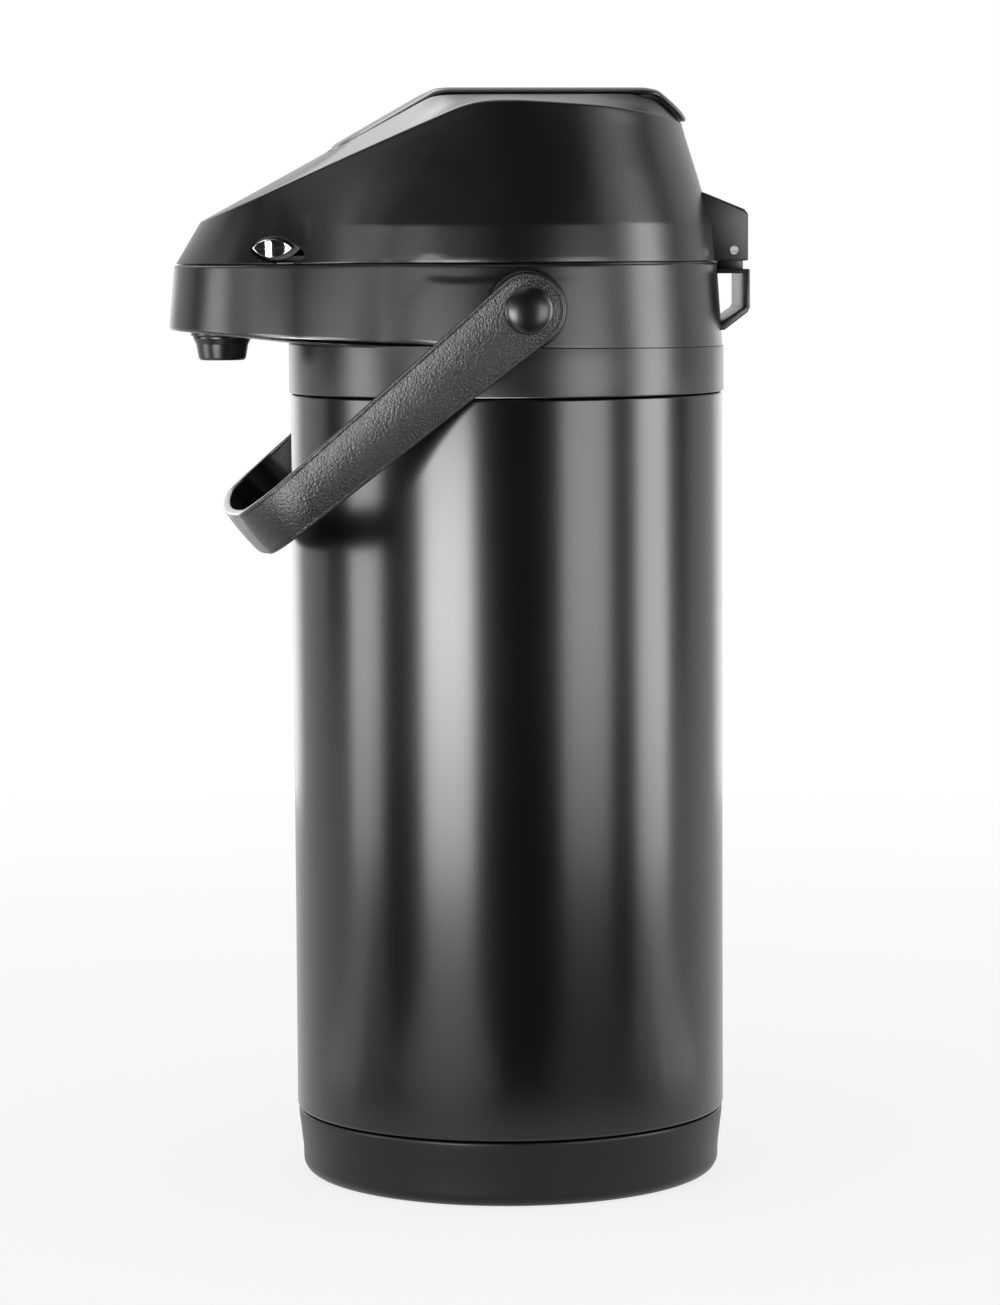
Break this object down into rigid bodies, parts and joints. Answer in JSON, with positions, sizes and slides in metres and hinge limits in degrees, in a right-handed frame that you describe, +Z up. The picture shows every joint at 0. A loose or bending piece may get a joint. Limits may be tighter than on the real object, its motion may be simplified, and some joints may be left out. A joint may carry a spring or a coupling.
{
  "type": "pump pot",
  "caption": "Tall round vacuum pump pot with a hinged pump lid, press lever, spout beak with nozzle under it, side release buttons and a swinging strap handle.",
  "frame": {"origin": "centre of the base on the surface it rests on", "axes": "+Z up along the body axis, -Y towards the spout beak, +Y towards the lid hinge, +X the right side"},
  "size_m": [0.1738, 0.203, 0.3827],
  "materials": {
    "black_paint": "satin powder coat",
    "black_plastic": "satin",
    "grain_plastic": "fine grain",
    "pale_plastic": "matte",
    "pale_rubber": "matte",
    "rubber": "matte",
    "steel": "brushed",
    "chrome": "polished"
  },
  "bodies": {
    "pot": {"base_cap": "black_plastic", "outer_shell": "black_paint", "shell_bottom": "steel", "inner_liner": "steel", "collar": "black_plastic", "mouth_gasket": "rubber", "mouth_insert": "black_plastic", "dip_tube": "pale_plastic", "outlet_pipe": "pale_plastic", "spout_nozzle": "black_plastic", "pivot_pin_right": "black_plastic", "pivot_pin_left": "black_plastic"},
    "handle": {"handle": "grain_plastic"},
    "lid": {"hinge_pin": "steel", "lid_cover": "black_plastic", "lid_tray": "black_plastic", "lid_screws": "steel", "stopper": "pale_plastic", "stopper_seal": "rubber", "check_valve": "rubber", "bellows": "pale_rubber", "return_spring": "steel", "lever_pin": "steel"},
    "pump": {"plunger": "pale_plastic", "intake_valve": "rubber"},
    "lever": {"press_lever": "black_plastic"},
    "button_right": {"release_button_right": "chrome"},
    "button_left": {"release_button_left": "chrome"}
  },
  "joints": [
    {"name": "handle_swing", "type": "hinge", "parent": "pot", "child": "handle", "pos_m": [0, 0, 0.307], "axis": [-1, 0, 0], "range_deg": [0, 258]},
    {"name": "lid_open", "type": "hinge", "parent": "pot", "child": "lid", "pos_m": [0, 0.079, 0.3263], "axis": [-1, 0, 0], "range_deg": [0, 88]},
    {"name": "lever_press", "type": "hinge", "parent": "lid", "child": "lever", "pos_m": [0, 0.042, 0.372], "axis": [1, 0, 0], "range_deg": [0, 14], "stiffness_Nm_per_rad": 6, "springref_deg": -8.59},
    {"name": "pump_stroke", "type": "slide", "parent": "lid", "child": "pump", "axis": [0, 0, -1], "range_m": [0, 0.0106], "deforming": ["bellows", "return_spring"]},
    {"name": "release_right", "type": "slide", "parent": "lid", "child": "button_right", "axis": [-0.9511, 0.309, 0], "range_m": [0, 0.003], "stiffness_N_per_m": 300, "springref_m": -0.002},
    {"name": "release_left", "type": "slide", "parent": "lid", "child": "button_left", "axis": [0.9511, 0.309, 0], "range_m": [0, 0.003], "stiffness_N_per_m": 300, "springref_m": -0.002}
  ],
  "couplings": [
    {"joint": "pump_stroke", "follows": "lever_press", "m_per_rad": 0.043}
  ]
}
